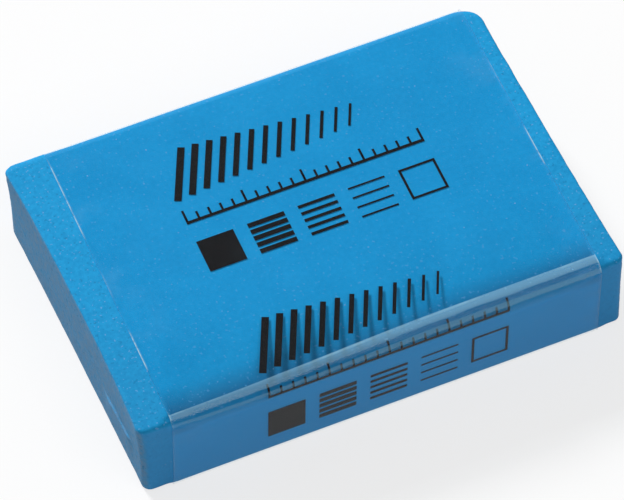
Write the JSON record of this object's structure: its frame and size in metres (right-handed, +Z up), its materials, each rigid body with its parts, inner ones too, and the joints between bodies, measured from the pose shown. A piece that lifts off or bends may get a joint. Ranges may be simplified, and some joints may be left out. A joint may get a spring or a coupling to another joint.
{
  "type": "kneaded eraser",
  "caption": "Die-cut block of soft blue kneadable putty for rubbing out pencil and charcoal, in a snug clear film sleeve that leaves both ends bare.",
  "frame": {"origin": "centre of the underside", "axes": "+X along the block's length, +Y towards its back edge, +Z up through its thickness"},
  "size_m": [0.0434, 0.0304, 0.0085],
  "materials": {
    "putty": "matt kneadable putty, faintly mottled, with fine pale specks",
    "clear_film": "thin clear glossy film with a black print"
  },
  "bodies": {
    "root": {"eraser_block": "putty", "film_sleeve": "clear_film"}
  },
  "joints": []
}
